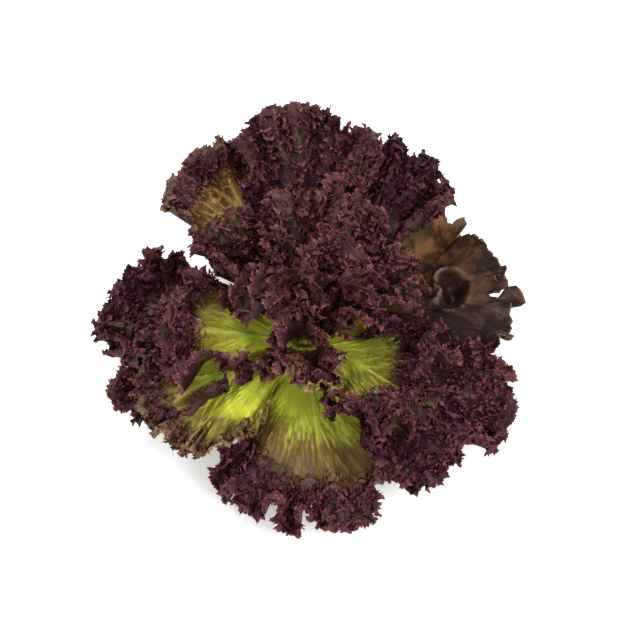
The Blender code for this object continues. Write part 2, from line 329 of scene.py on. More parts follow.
class Sheet:
    """One leaf's blade before its waves: tau goes round the margin from one side of the base to the other, in
    degrees from the tip, and v from the base to the margin."""

    def __init__(self, leaf):
        self.leaf = leaf
        base_z = FIRST_TIER_HEIGHT + TIER_STEP * leaf.tier
        arch = math.radians(leaf.arch)
        self.rib = RIB_THICKNESS - RIB_THINNING * leaf.tier
        self.base_half_angle = min(BASE_HALF_ANGLE, BASE_SHARE * leaf.half_angle)
        base_r = stem_radius(base_z - self.rib) + CLEARANCE
        chord = math.atan2(leaf.tip_height - base_z, leaf.tip_radius - base_r)
        self.start = chord + arch
        self.base_z = base_z
        self.base_r = base_r + 0.5 * BLADE_THICKNESS
        reach = math.hypot(leaf.tip_radius - self.base_r, leaf.tip_height - base_z)
        self.length = reach * arch / math.sin(arch)
        self.curvature = 2.0 * arch / self.length
        self.find_margin()
        self.base_half_angle = CLASPING_HALF_ANGLES.get(leaf.name, self.base_half_angle)

    def profile(self, t):
        """Radius, height and slope after a length t along the midrib's arc."""
        slope = self.start - self.curvature * t
        r = self.base_r + (math.sin(self.start) - np.sin(slope)) / self.curvature
        z = self.base_z + (np.cos(slope) - math.cos(self.start)) / self.curvature
        return r, z, slope

    def reach(self, tau):
        """How far the margin is from the base, along the blade."""
        toward_tip = signed_power(np.cos(np.radians(tau)), TIP_POWER)
        return self.length * (WIDEST_SHARE + (1.0 - WIDEST_SHARE) * toward_tip)

    def place(self, tau, v):
        """Points and upward normals at arrays tau and v."""
        margin_angle = self.leaf.half_angle * signed_power(np.sin(np.radians(tau)), SIDE_POWER)
        base_angle = self.base_half_angle * tau / MARGIN_TURN
        angle = base_angle + (margin_angle - base_angle) * v**FAN_POWER
        r, z, slope = self.profile(self.reach(tau) * v)
        around = np.radians(self.leaf.azimuth + angle)
        points = np.stack([r * np.cos(around), r * np.sin(around), z], axis=-1)
        tilt = -np.sin(slope)
        normals = np.stack([tilt * np.cos(around), tilt * np.sin(around), np.cos(slope)], axis=-1)
        return points, normals

    def find_margin(self):
        """Finds the margin's length, so that columns can be spaced evenly along it."""
        self.margin_tau = np.linspace(-MARGIN_TURN, MARGIN_TURN, MARGIN_SAMPLES)
        edge, _ = self.place(self.margin_tau, np.ones_like(self.margin_tau))
        steps = np.linalg.norm(np.diff(edge, axis=0), axis=1)
        run = np.concatenate([[0.0], np.cumsum(steps)])
        self.margin_length = run[-1]
        self.margin_share = run / run[-1]

    def tau_at(self, share):
        return np.interp(share, self.margin_share, self.margin_tau)

    def tree(self):
        """The plain sheet as a search tree, for distances from other leaves."""
        width = TREE_COLUMNS + 1
        share, v = np.meshgrid(np.linspace(0, 1, width), np.linspace(0, 1, TREE_ROWS + 1))
        points, _ = self.place(self.tau_at(share), v)
        corners = [row * width + column for row in range(TREE_ROWS) for column in range(TREE_COLUMNS)]
        quads = [(a, a + 1, a + width + 1, a + width) for a in corners]
        return BVHTree.FromPolygons(points.reshape(-1, 3).tolist(), quads)


def gaps_round(sheet, other_trees, share, v):
    """How far the nearest other leaf is, measured on a coarse grid and read between its points."""
    grid_lines = (np.linspace(0.0, 1.0, ROOM_COLUMNS + 1), np.linspace(0.0, 1.0, ROOM_ROWS + 1))
    grid_share, grid_v = np.meshgrid(*grid_lines)
    points, _ = sheet.place(sheet.tau_at(grid_share), grid_v)
    gaps = [min(tree.find_nearest(Vector(p))[3] for tree in other_trees) for p in points.reshape(-1, 3)]
    gaps = np.array(gaps).reshape(grid_v.shape)
    column = np.minimum((share * ROOM_COLUMNS).astype(int), ROOM_COLUMNS - 1)
    row = np.minimum((v * ROOM_ROWS).astype(int), ROOM_ROWS - 1)
    across = share * ROOM_COLUMNS - column
    up = v * ROOM_ROWS - row
    low = gaps[row, column] * (1.0 - across) + gaps[row, column + 1] * across
    high = gaps[row + 1, column] * (1.0 - across) + gaps[row + 1, column + 1] * across
    return low * (1.0 - up) + high * up


def calm(tau):
    """How much of a wave is left: all of it round the margin, and none where the margin meets the base."""
    return smooth_step((MARGIN_TURN - np.abs(tau)) / CALM_TURN)


def large_waves(share, v, margin_length, rng):
    """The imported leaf's own waves: their lift, and the most that it can be."""
    lift = np.zeros_like(v)
    most = np.zeros_like(v)
    for wavelength, height, first in WAVES:
        count = margin_length / wavelength
        phase, drift_phase = rng.uniform(0.0, TURN, 2)
        drift = WAVE_DRIFT * np.sin(TURN * count * DRIFT_RATE * share + drift_phase)
        growth = height * smooth_between(v, first, 1.0)
        lift += growth * np.sin(TURN * count * share + phase + drift)
        most += growth
    return lift, most


def lobe_cut(share, v, margin_length, rng):
    """How far the bays between the broad lobes cut into the margin."""
    count = round(margin_length / LOBE_WIDTH)
    turn = math.pi * (count * share + rng.uniform(-LOBE_DRIFT, LOBE_DRIFT))
    return LOBE_DEPTH * (1.0 - np.abs(np.sin(turn))) * smooth_between(v, LOBE_START, 1.0)


def wander(x, rng, slowest, sines=5):
    """A smooth random line of about unit size at array x, made of a few sines with no common period."""
    total = np.zeros_like(x)
    for step in range(sines):
        rate = slowest * WANDER_STEP**step * rng.uniform(*WANDER_SPREAD)
        total += np.sin(TURN * rate * x + rng.uniform(0.0, TURN)) * WANDER_FADE**step
    return total / WANDER_SIZE


def varied(x, rng, vary, rate=1.0, sines=5):
    """A size that varies along a line as vary says, where the line's own rate is the one given."""
    return np.clip(vary.mean + vary.span * wander(x, rng, rate * vary.rate, sines), vary.least, vary.most)


def frame_of(points):
    """Unit vectors along the margin, outwards and upwards, at each point of a grid of points."""
    along = unit(np.gradient(points, axis=1))
    outward = np.gradient(points, axis=0)
    normal = unit(np.cross(outward, along))
    return along, unit(np.cross(along, normal)), normal


def band_rows(growth):
    """The rows beside the margin, from the innermost to the margin: how far in each lies, and its stride."""
    rows = []
    distance, step = 0.0, FIRST_ROW_STEP
    while distance < BAND_REACH:
        stride = next(stride for reach, stride in STRIDES if distance < reach)
        rows.append((distance, stride))
        distance += step
        step *= growth
    return rows[::-1]


def grid_of(sheet, look):
    """The fine grid: share, v and distance from the margin at each point, and each row's stride."""
    step = VEINED_STEP if look.veins > VEINED else MARGIN_STEP
    columns = WIDEST_STRIDE * round(sheet.margin_length / step / WIDEST_STRIDE)
    line = np.linspace(0.0, 1.0, columns + 1)
    reach = sheet.reach(sheet.tau_at(line))
    band = band_rows(ROW_GROWTH if look.frill > LEAST_FOLDED else PLAIN_ROW_GROWTH)
    innermost = band[0][0]
    narrowing = np.minimum(1.0, BAND_SHARE * reach / innermost)
    rows = [(1.0 - innermost * narrowing / reach) * number / INNER_ROWS for number in range(INNER_ROWS)]
    rows += [1.0 - distance * narrowing / reach for distance, _ in band]
    v = np.array(rows)
    strides = [WIDEST_STRIDE] * INNER_ROWS + [stride for _, stride in band]
    share = np.broadcast_to(line, v.shape)
    return share, v, (1.0 - v) * reach, narrowing, strides, np.array([distance for distance, _ in band])


def add_curl(points, normals, share, distance, narrowing, free, tier, margin_length, rng):
    """Turns the outer band up and back, or down, column by column, and keeps its length. How free it is to
    turn is given for each column."""
    rate = margin_length / CURL_LENGTH * CURL_RATE
    turn = free * (CURL_MEANS[tier] + CURL_SPAN * wander(share[0], rng, rate, CURL_SINES))
    turn = CURL_TURN * np.clip(turn, LEAST_CURL, MOST_CURL)
    near = smooth_step(1.0 - distance / (CURL_REACH * narrowing))
    steps = np.diff(points, axis=0)
    length = np.linalg.norm(steps, axis=-1, keepdims=True)
    angle = (0.5 * (near[1:] + near[:-1]) * turn)[..., None]
    ahead = steps / length
    side = normals[1:] - ahead * np.sum(normals[1:] * ahead, axis=-1, keepdims=True)
    bent = length * (ahead * np.cos(angle) + unit(side) * np.sin(angle))
    return np.concatenate([points[:1], points[0] + np.cumsum(bent, axis=0)])


def add_frill(points, share, distance, narrowing, held, margin_length, rng):
    """Lays the blade's own frills on a grid of points."""
    along, outward, normal = frame_of(points)
    count = margin_length / FRILL_LENGTH
    line = share[0]
    bend = sum(size * wander(line, rng, count * rate) for size, rate in FRILL_BENDS)
    size = varied(line, rng, FRILL_SIZE, count)
    late = varied(line, rng, FRILL_START, count)
    phase = TURN * count * share + bend * math.pi
    growth = smooth_step(1.0 - distance / (FRILL_REACH * narrowing * late))
    height = FRILL_HEIGHT * growth * size * held
    up = height * np.sin(phase)
    side = height * FRILL_SIDEWAYS * np.sin(2.0 * phase)
    out = height * FRILL_OUTWARD * np.cos(phase + FRILL_LAG)
    return points + normal * up[..., None] + along * side[..., None] + outward * out[..., None]


def veins(share, v, sheet, rng):
    """How near each point is to a vein, from 0 to 1: the midrib, and branches that leave it and fork."""
    middle = sheet.margin_length * (share - 0.5)
    near = np.exp(-((middle * v / (VEIN_WIDTH * (MIDRIB_WIDTH - MIDRIB_THINNING * v))) ** 2))
    branches = max(3, round(0.5 * sheet.margin_length / VEIN_SPACING))
    for place in np.linspace(-1.0, 1.0, 2 * branches + 1):
        leave = rng.uniform(0.0, BRANCH_LEAVES) * (1.0 - abs(place))
        target = place * 0.5 * sheet.margin_length * rng.uniform(*BRANCH_SPREAD)
        path = target * smooth_between(v, leave, BRANCH_RUN)
        path = path + VEIN_SWAY * np.sin(VEIN_SWAYS * v + rng.uniform(0.0, TURN)) * v
        grown = smooth_step((v - max(leave, VEINS_FROM)) / BRANCH_GROWTH)
        vein = np.exp(-(((middle - path) * v / (VEIN_WIDTH * BRANCH_WIDTH)) ** 2))
        near = np.maximum(near, grown * vein * BRANCH_STRENGTH)
        for side in (-1.0, 1.0):
            fork = rng.uniform(*TWIG_LEAVES)
            after = np.maximum(v - fork, 0.0)
            swerve = side * TWIG_SWERVE * (after + TWIG_BEND * after**2)
            twig = np.exp(-(((middle - path - swerve) * v / (VEIN_WIDTH * TWIG_WIDTH)) ** 2))
            near = np.maximum(near, smooth_step(after / TWIG_GROWTH) * twig * TWIG_STRENGTH)
    return near


def pleats(share, v, distance, margin_length, rng):
    """The soft pleats that fan out over the inner part of the blade."""
    inner = smooth_step(v / PLEATS_FULL) * smooth_step(distance / BAND_REACH)
    return PLEAT_HEIGHT * inner * wander(share, rng, margin_length / PLEAT_LENGTH, PLEAT_SINES)


def relief_of(sheet, share, v, distance, gaps, number):
    """How near each point is to a vein, and how high veins and pleats lift it where the leaf has room."""
    rng = np.random.default_rng(VEIN_SEED + number)
    vein = veins(share, v, sheet, rng)
    ridge = VEIN_HEIGHT * vein * smooth_step(distance / BAND_REACH)
    ridge = ridge + pleats(share, v, distance, sheet.margin_length, rng)
    return vein, ridge * np.minimum(1.0, gaps / RIDGE_ROOM)


def bays_kept(line, margin_length, rng):
    """How deep the fine leaf keeps each bay between its lobes: where one is filled, two lobes are one."""
    return varied(line, rng, BAY_DEPTH, margin_length / BAY_LENGTH, 2)


def cup_of(points, normals, center):
    """A cup sunk into the blade, with a raised rim that is highest on its inner side: the points, how far
    inside the cup each is, and how near its rim."""
    ahead = points - center
    turn = np.arctan2(ahead[..., 1], ahead[..., 0])
    oval = CUP_STRETCH * (np.abs(np.sin(turn)) - 0.5)
    wobble = CUP_WOBBLE * np.sin(CUP_WOBBLES * turn + CUP_WOBBLE_TURN)
    radius = CUP_RADIUS * (1.0 + oval + wobble)
    away = np.linalg.norm(ahead, axis=-1)
    inside = smooth_step(1.0 - away / radius)
    rim = np.exp(-(((away - radius) / CUP_RIM_WIDTH) ** 2)) * (CUP_RIM_MEAN - CUP_RIM_LEAN * np.cos(turn))
    return points + normals * (CUP_RIM_HEIGHT * rim - CUP_DEPTH * inside)[..., None], inside, rim


def add_tips(points, lobe, distance, margin_length, rng):
    """Draws the middle of each broad lobe out to a hooked point, and makes the margin between them jagged."""
    along, outward, normal = frame_of(points)
    line = np.linspace(0.0, 1.0, points.shape[1])
    near = smooth_step(1.0 - distance / TIP_REACH)
    lobes = margin_length / LOBE_WIDTH
    size = varied(line, rng, TIP_SIZE, lobes, 3)
    grow = TIP_LENGTH * size * near * lobe**TIP_SHARPNESS
    jag = JAG_HEIGHT * near**JAG_SHARPNESS * wander(line, rng, margin_length / JAG_LENGTH)
    hook = varied(line, rng, TIP_HOOK, lobes, 2)
    lift = TIP_LIFT * wander(line, rng, lobes * TIP_RATE, 3)
    points = points + outward * (grow + jag)[..., None]
    return points + along * (grow * near * hook)[..., None] + normal * (grow * lift)[..., None]


def fine_blade(sheet, look, other_trees, number):
    """The fine leaf as a grid: its points and their directions, and what its colours need at each."""
    share, v, distance, narrowing, strides, inward = grid_of(sheet, look)
    margin_length = sheet.margin_length
    brown = sheet.leaf.name == BROWN_LEAF
    tau = sheet.tau_at(share)
    own_rng = np.random.default_rng(SEED + number)
    rng = np.random.default_rng(SHAPE_SEED + number)
    lift, most = large_waves(share, v, margin_length, own_rng)
    cut = np.zeros_like(v)
    if brown:
        cut += bays_kept(share[0], margin_length, rng) * lobe_cut(share, v, margin_length, own_rng)
        lift *= BROWN_WAVE_SHARE
    gaps = gaps_round(sheet, other_trees, share, v)
    room = np.maximum(gaps - LEAST_GAP, 0.0) * SHARE_OF_GAP
    held = np.minimum(1.0, room / np.maximum(most, LOWEST))
    points, normals = sheet.place(tau, v - cut / sheet.length)
    vein, ridge = relief_of(sheet, share, v, distance, gaps, number)
    points = points + normals * (lift * held * calm(tau) + ridge)[..., None]
    if brown:
        center, _ = sheet.place(sheet.tau_at(CUP_SHARE), CUP_V)
        points, inside, rim = cup_of(points, normals, center)
        vein = np.maximum(BROWN_VEIN_SHARE * vein, rim)
        v = v * (1.0 - CUP_YOUTH * inside)
    free = look.curl * calm(tau[0])
    tier = sheet.leaf.tier
    points = add_curl(points, normals, share, distance, narrowing, free, tier, margin_length, rng)
    free = look.frill * np.clip(gaps / (FRILL_ROOM * FRILL_HEIGHT), LEAST_FRILL, 1.0) * np.sqrt(calm(tau))
    points = add_frill(points, share, distance, narrowing, free, margin_length, rng)
    if brown:
        points = add_tips(points, 1.0 - cut[-1] / LOBE_DEPTH, distance, margin_length, rng)
    along, outward, normal = frame_of(points)
    return Blade(points, along, outward, normal, share, v, vein, distance, calm(tau), strides, inward)


def line_on(blade, inward):
    """A line across the blade's columns, as far in from the margin as inward says at each column."""
    row = INNER_ROWS + np.interp(inward, blade.inward[::-1], np.arange(len(blade.inward))[::-1])
    low = np.minimum(row.astype(int), len(blade.v) - 2)
    part = row - low
    column = np.arange(len(row))

    def read(grid):
        weight = part[:, None] if grid.ndim == 3 else part
        return grid[low, column] * (1.0 - weight) + grid[low + 1, column] * weight

    grids = (blade.points, blade.along, blade.outward, blade.normal, blade.share, blade.v, blade.calm)
    return Line(*(read(grid) for grid in grids))


def evenly(line):
    """The same line with its points spaced evenly along its length, and how far along each lies."""
    run = np.concatenate([[0.0], np.cumsum(np.linalg.norm(np.diff(line.points, axis=0), axis=1))])
    places = np.linspace(0.0, run[-1], max(4, round(run[-1] / FOLD_STEP)) + 1)

    def read(values):
        if values.ndim == 1:
            return np.interp(places, run, values)
        return np.stack([np.interp(places, run, values[:, axis]) for axis in range(values.shape[1])], axis=1)

    return Line(*(read(values) for values in line)), places


def ruffled_fold(line, run, stand, aside, height, rng):
    """A narrow ruffled fold on a line: rows of points from its root to its toothed edge."""
    turns = run / RUFFLE_LENGTH
    phase = TURN * turns + RUFFLE_BEND * wander(turns, rng, RUFFLE_BEND_RATE)
    size = RUFFLE_HEIGHT * varied(turns, rng, RUFFLE_SIZE) * height / FOLD_HEIGHT
    bend = SWAY_BEND * wander(turns, rng, SWAY_BEND_RATE)
    sway = SWAY_HEIGHT * np.sin(TURN * turns / SWAY_LENGTH + bend)
    lean = FOLD_LEAN * wander(turns, rng, FOLD_LEAN_RATE)
    teeth = np.where(np.arange(len(run)) % 2, TOOTH_DEPTH, 0.0) * rng.uniform(*TOOTH_SHARES, len(run))
    rows = []
    for step in range(FOLD_ROWS + 1):
        up = step / FOLD_ROWS
        rise = height * up * np.cos(lean) + size * RUFFLE_NOD * up * np.cos(phase + RUFFLE_NOD_LAG)
        if step == FOLD_ROWS:
            rise = rise - teeth
        shift = height * up * np.sin(lean) + sway * up + size * up**RUFFLE_GROWTH * np.sin(phase)
        slide = size * RUFFLE_SLIDE * up * np.sin(2.0 * phase)
        row = line.points + stand * rise[:, None] + aside * shift[:, None] + line.along * slide[:, None]
        rows.append(row)
    return np.array(rows)


def fold_piece(line, rows, strength):
    """A fold's points, faces and colour layers, without the stretches where it is too low to show."""
    count = rows.shape[1]
    kept = np.flatnonzero((strength[1:] > LEAST_FOLD) & (strength[:-1] > LEAST_FOLD))
    root = (np.arange(FOLD_ROWS)[:, None] * count + kept).ravel()
    faces = np.concatenate(
        [np.stack([root, root + count, root + 1], 1), np.stack([root + 1, root + count, root + count + 1], 1)]
    )
    used, faces = np.unique(faces, return_inverse=True)
    faces = faces.reshape(-1, 3)
    fringe = np.repeat(np.linspace(ROOT_FRINGE, 1.0, FOLD_ROWS + 1), count)
    place = np.tile(np.stack([line.share, line.v, np.zeros(count)], axis=1), (FOLD_ROWS + 1, 1))
    return rows.reshape(-1, 3)[used], faces, place[used], fringe[used]


def folds_of(blade, look, rng):
    """The margin's fold, and those that stand on the red band. A leaf with few frills has none."""
    if look.frill <= LEAST_FOLDED:
        return []
    columns = blade.share.shape[1]
    line, run = evenly(line_on(blade, np.zeros(columns)))
    strength = look.frill * np.sqrt(line.calm)
    rows = ruffled_fold(line, run, line.outward, line.normal, EDGE_HEIGHT * strength, rng)
    pieces = [fold_piece(line, rows, strength)]
    for number in range(1, FOLD_COUNT + 1):
        drift = FOLD_WANDER * wander(blade.share[0], rng, columns / FOLD_WANDER_COLUMNS)
        line, run = evenly(line_on(blade, number * FOLD_SPACING + drift))
        place = line.v - look.slant * (line.share - 0.5)
        red = smooth_between(place, look.red_from, look.red_full)
        strength = look.frill * red * line.calm * varied(run / RUFFLE_LENGTH, rng, FOLD_STRENGTH)
        rows = ruffled_fold(line, run, line.normal, line.outward, FOLD_HEIGHT * strength, rng)
        pieces.append(fold_piece(line, rows, strength))
    return pieces


def zip_rows(lower, upper):
    """Triangles between two rows of vertex numbers, the lower one with as many spaces or half as many."""
    faces = []
    ratio = (len(upper) - 1) // (len(lower) - 1)
    for i in range(len(lower) - 1):
        a, b = lower[i], lower[i + 1]
        tops = upper[i * ratio : (i + 1) * ratio + 1]
        faces.append((a, tops[0], tops[1]))
        faces.append((a, tops[1], b))
        if ratio == 2:
            faces.append((b, tops[1], tops[2]))
    return faces


def blade_piece(sheet, blade):
    """The closed blade's points, faces and colour layers."""
    rows, picks = [], []
    start = 0
    columns = blade.share.shape[1] - 1
    for row, stride in enumerate(blade.strides):
        width = columns // stride + 1
        rows.append(np.arange(start, start + width))
        picks.append(row * (columns + 1) + np.arange(0, columns + 1, stride))
        start += width
    picks = np.concatenate(picks)
    points = blade.points.reshape(-1, 3)[picks]
    normals = blade.normal.reshape(-1, 3)[picks]
    grids = (blade.share, blade.v, blade.vein, blade.distance)
    share, v, vein, distance = (grid.reshape(-1)[picks] for grid in grids)
    across = np.exp(-((sheet.tau_at(share) / MARGIN_TURN / RIB_HALF_SHARE) ** 2))
    along = (1.0 - v) ** RIB_FADE
    beside = (1.0 - across) * BASE_SWELL * (1.0 - v) ** BASE_FADE
    swell = (sheet.rib - FINE_THICKNESS) * (across * along + beside)
    upper = points + normals * 0.5 * FINE_THICKNESS
    lower = points - normals * (0.5 * FINE_THICKNESS + swell)[:, None]
    count = len(points)
    skin = np.array([face for a, b in zip(rows, rows[1:]) for face in zip_rows(a, b)])
    rim = np.concatenate(
        [rows[0][::-1], [row[0] for row in rows[1:]], rows[-1][1:], [row[-1] for row in rows[-2:0:-1]]]
    )
    after = np.roll(rim, -1)
    sides = [np.stack([rim + count, after + count, after], 1), np.stack([rim + count, after, rim], 1)]
    under = skin[:, [0, 2, 1]] + count
    place = np.tile(np.stack([share, v, vein], axis=1), (2, 1))
    fringe = np.tile(ROOT_FRINGE * smooth_step(1.0 - distance / EDGE_HEIGHT), 2)
    return np.concatenate([upper, lower]), np.concatenate([skin, under] + sides), place, fringe


def leaf_object(sheet, look, other_trees, number):
    """One leaf: its closed blade with its ruffled folds, and its place on the leaf kept on its points."""
    blade = fine_blade(sheet, look, other_trees, number)
    pieces = [blade_piece(sheet, blade)] + folds_of(blade, look, np.random.default_rng(FOLD_SEED + number))
    starts = np.cumsum([0] + [len(piece[0]) for piece in pieces[:-1]])
    faces = np.concatenate([piece[1] + start for piece, start in zip(pieces, starts)])
    points, place, fringe = (np.concatenate([piece[part] for piece in pieces]) for part in (0, 2, 3))
    points[:, 2] = np.maximum(points[:, 2], 0.0)
    return make_mesh(sheet.leaf.name + "_blade", points, faces, place, fringe)


def add_object(name, data):
    thing = bpy.data.objects.new(name, data)
    bpy.context.scene.collection.objects.link(thing)
    return thing


def make_mesh(name, points, faces, place, fringe):
    mesh = bpy.data.meshes.new(name)
    mesh.vertices.add(len(points))
    mesh.vertices.foreach_set("co", points.astype(np.float32).ravel())
    mesh.loops.add(faces.size)
    mesh.loops.foreach_set("vertex_index", faces.astype(np.int32).ravel())
    mesh.polygons.add(len(faces))
    mesh.polygons.foreach_set("loop_start", np.arange(0, faces.size, 3, dtype=np.int32))
    mesh.update(calc_edges=True)
    mesh.validate()
    mesh.shade_smooth()
    layer = mesh.attributes.new("leaf_place", "FLOAT_VECTOR", "POINT")
    layer.data.foreach_set("vector", place.astype(np.float32).ravel())
    layer = mesh.attributes.new("fringe", "FLOAT", "POINT")
    layer.data.foreach_set("value", fringe.astype(np.float32))
    return add_object(name, mesh)


def color(red, green, blue):
    return (red, green, blue, 1.0)


class Nodes:
    """A material's nodes: each call adds one and gives back its first output, or the one named."""

    def __init__(self, name):
        self.material = bpy.data.materials.new(name)
        self.material.use_nodes = True
        self.tree = self.material.node_tree
        self.shader = self.tree.nodes["Principled BSDF"]

    def add(self, kind, inputs=(), output=0, **settings):
        node = self.tree.nodes.new("ShaderNode" + kind)
        for key, value in settings.items():
            setattr(node, key, value)
        for key, value in dict(inputs).items():
            self.set(node.inputs[key], value)
        return node.outputs[output]

    def set(self, socket, value):
        if isinstance(value, bpy.types.NodeSocket):
            self.tree.links.new(value, socket)
        else:
            socket.default_value = value

    def shade(self, inputs):
        """Sets or links the shader's own sockets, and gives back the material."""
        for key, value in inputs.items():
            self.set(self.shader.inputs[key], value)
        return self.material

    def math(self, operation, a, b=0.0, c=0.0):
        return self.add("Math", {0: a, 1: b, 2: c}, operation=operation)

    def times(self, a, b):
        return self.math("MULTIPLY", a, b)

    def shifted(self, value, noise, amount):
        """The value, moved up or down by up to half of the amount."""
        return self.math("MULTIPLY_ADD", noise, amount, self.math("SUBTRACT", value, 0.5 * amount))

    def ramp(self, value, low, high, out_low=0.0, out_high=1.0):
        inputs = {0: value, 1: low, 2: high, 3: out_low, 4: out_high}
        return self.add("MapRange", inputs, interpolation_type="SMOOTHSTEP")

    def mix(self, share, a, b):
        return self.add("Mix", {0: share, 6: a, 7: b}, output=2, data_type="RGBA")

    def noise(self, vector, scale, detail):
        inputs = {"Vector": vector, "Scale": scale, "Detail": detail, "Roughness": NOISE_ROUGHNESS}
        return self.add("TexNoise", inputs)

    def place(self):
        return self.add("TexCoord", output="Object")

    def bump(self, height, strength, distance):
        return self.add("Bump", {"Height": height, "Strength": strength, "Distance": distance})


# Colours, as linear red, green and blue
PALE_GREEN = color(0.78, 0.86, 0.100)
MID_GREEN = color(0.56, 0.62, 0.042)
# A dark green that is painted shade between the folds
SHADED_GREEN = color(0.036, 0.040, 0.012)
OLIVE = color(0.108, 0.060, 0.018)
# deep is a darker red in patches and also painted shade between the folds; edge is a painted highlight on the
# folds' edges
COOL_REDS = {
    "deep": color(0.026, 0.0085, 0.0110),
    "dark": color(0.057, 0.0155, 0.0175),
    "light": color(0.145, 0.0290, 0.0390),
    "edge": color(0.245, 0.0700, 0.0880),
}
WARM_REDS = {
    "deep": color(0.034, 0.0125, 0.0085),
    "dark": color(0.064, 0.0215, 0.0140),
    "light": color(0.165, 0.0430, 0.0310),
    "edge": color(0.275, 0.1020, 0.0780),
}
PALE_VEIN = color(0.74, 0.80, 0.15)
ORANGE_VEIN = color(0.40, 0.200, 0.060)
PALE_MARGIN = color(0.44, 0.37, 0.13)
# A grey-violet painted sheen, shown in patches in place of the painted shade between the folds
PAINTED_SHEEN = color(0.095, 0.060, 0.072)
# Painted shade in the creases of the net of small veins
CREASE_SHADE = color(0.085, 0.048, 0.020)
BROWN_BLACK = color(0.011, 0.0052, 0.0060)
BROWN_DARK = color(0.015, 0.0078, 0.0060)
BROWN_LIGHT = color(0.046, 0.0195, 0.0105)
BROWN_WARM = color(0.165, 0.070, 0.024)
BROWN_OLIVE = color(0.270, 0.200, 0.080)
BROWN_EDGE = color(0.30, 0.20, 0.15)
STEM_FLESH = color(0.62, 0.66, 0.34)
CUT_BROWN = color(0.36, 0.22, 0.10)
# Painted shade on the stem's top, which lies inside the head
STEM_SHADE = color(0.070, 0.030, 0.020)

# The noises that colours and relief follow: the scale and detail of each
NOISE_ROUGHNESS = 0.55
PATCHES = (48.0, 3.0)
GRAIN = (330.0, 4.0)
SPECKS = (900.0, 2.0)
DRIFT = (38.0, 3.0)
NET_BEND = (90.0, 3.0)
BROWN_PATCHES = (34.0, 3.0)
BROWN_SPOTS = (95.0, 4.0)
BROWN_GRAIN = (300.0, 4.0)
STEM_GRAIN = (500.0, 4.0)
FLOOR_GRAIN = (3.0, 3.0)

# The net of small veins: raised pale lines where a leaf's veins are this strong, and elsewhere creases
# with painted shade in them
NET_CELL_WIDTH = 0.0070
NET_CELL_LENGTH = 0.0150
NET_WIDTH = 0.22
NET_STRENGTH = 0.75
NET_RELIEF = -0.6
RAISED_VEINS = 0.95
RAISED_NET_WIDTH = 0.17
RAISED_NET_STRENGTH = 0.95
RAISED_NET_RELIEF = 0.8

# How far patches, grain and veins move the zones of colour along the blade
PATCH_SHIFT = 0.26
GRAIN_SHIFT = 0.10
VEIN_SHIFT = -0.07
BROWN_PATCH_SHIFT = 0.30

# Ramps: the values between which something changes, and from what to what where that isn't from 0 to 1
GREEN_DEEPENS = (0.20, 0.62)
LIGHT_SPECKS = (0.36, 0.66)
DARK_PATCHES = (0.35, 0.65)
GREEN_GLIMPSES = (0.54, 0.62)
SHEEN_PATCHES = (0.54, 0.62, 0.0, 0.85)
# Painted shade: strongest on the blade between the folds, and fading out up the folds
SHADE_BETWEEN_FOLDS = (0.0, 0.75, 0.80, 0.0)
# Where and how strongly the painted highlight lies on the folds' edges, in specks
HIGHLIGHTED_FOLD_EDGES = (0.5, 1.0)
HIGHLIGHT_SPECKS = (0.40, 0.62, 0.15, 0.9)
HIGHLIGHT_STRENGTH = 1.2
HUE_DRIFT = (0.36, 0.64, 0.472, 0.514)
RED_VALUE = 1.05
PALE_BAND = (0.975, 1.0)
PALE_PATCHES = (0.44, 0.56, 0.1)
PALE_SIDE = (0.35, 0.60, 0.2, 1.0)
LEAF_ROUGHNESS = (0.25, 0.75, 0.40, 0.58)
LEAF_SPECULAR = 0.22

BROWN_STARTS = (0.12, 0.32)
BROWN_GREEN_DULLS = (0.05, 0.32)
LIGHT_SPOTS = (0.36, 0.64)
WARM_SIDE = (0.50, 0.66)
WARM_SPOTS = (0.38, 0.62, 0.1, 0.9)
BLACK_SIDE = (0.30, 0.50, 0.92, 0.0)
OLIVE_SIDE = (0.64, 0.80, 0.0, 0.85)
BLACK_HEART = (0.48, 0.68, 0.85, 0.0)
EDGE_BAND = (0.84, 1.02)
EDGE_SPOTS = (0.45, 0.60, 0.0, 0.12)
EDGE_LINE = (0.18, 0.25, 0.0, 0.4)
VEIN_SPOTS = (0.40, 0.60, 0.0, 0.6)
BROWN_ROUGHNESS = (0.25, 0.75, 0.45, 0.60)
BROWN_SPECULAR = 0.08

CUT_FACE = (0.0004, 0.0012, 1.0, 0.0)
CUT_RINGS = (0.35, 0.75)
CUT_RING_WIDTH = 0.0032
CUT_RING_STRENGTH = 0.12
STEM_GREENS = (0.004, 0.016)
STEM_SHADE_RAMP = (0.016, 0.026)
STEM_ROUGHNESS = 0.5

# Relief: how much of each noise is in it, and the bump's strength and height
GRAIN_RELIEF = 0.5
SPECK_RELIEF = 0.70
LEAF_BUMP = (0.6, 0.0011)
BROWN_GRAIN_RELIEF = 0.4
BROWN_NET_RELIEF = -0.3
BROWN_BUMP = (0.45, 0.0009)
STEM_BUMP = (0.6, 0.0006)


def leaf_parts(nodes):
    """The leaf's own coordinates: share along the margin, v along the blade, vein strength, and the fringe,
    which goes from 0 on the blade to 1 at a fold's edge."""
    place = nodes.add("Attribute", output="Vector", attribute_name="leaf_place")
    split = nodes.add("SeparateXYZ", {0: place}).node
    fringe = nodes.add("Attribute", output="Fac", attribute_name="fringe")
    return split.outputs[0], split.outputs[1], split.outputs[2], fringe


def net(nodes, share, v, across, along, width):
    """The fine net of small veins, as lines of height 1 with 0 between them."""
    bend = nodes.noise(nodes.place(), *NET_BEND)
    side = nodes.math("MULTIPLY_ADD", share, across, bend)
    vector = nodes.add("CombineXYZ", {0: side, 1: nodes.math("MULTIPLY_ADD", v, along, bend)})
    inputs = {"Vector": vector, "Scale": 1.0}
    cells = nodes.add("TexVoronoi", inputs, output="Distance", feature="DISTANCE_TO_EDGE")
    return nodes.ramp(cells, 0.0, width, 1.0, 0.0)


def between(a, b, share):
    return tuple(x + (y - x) * share for x, y in zip(a, b))


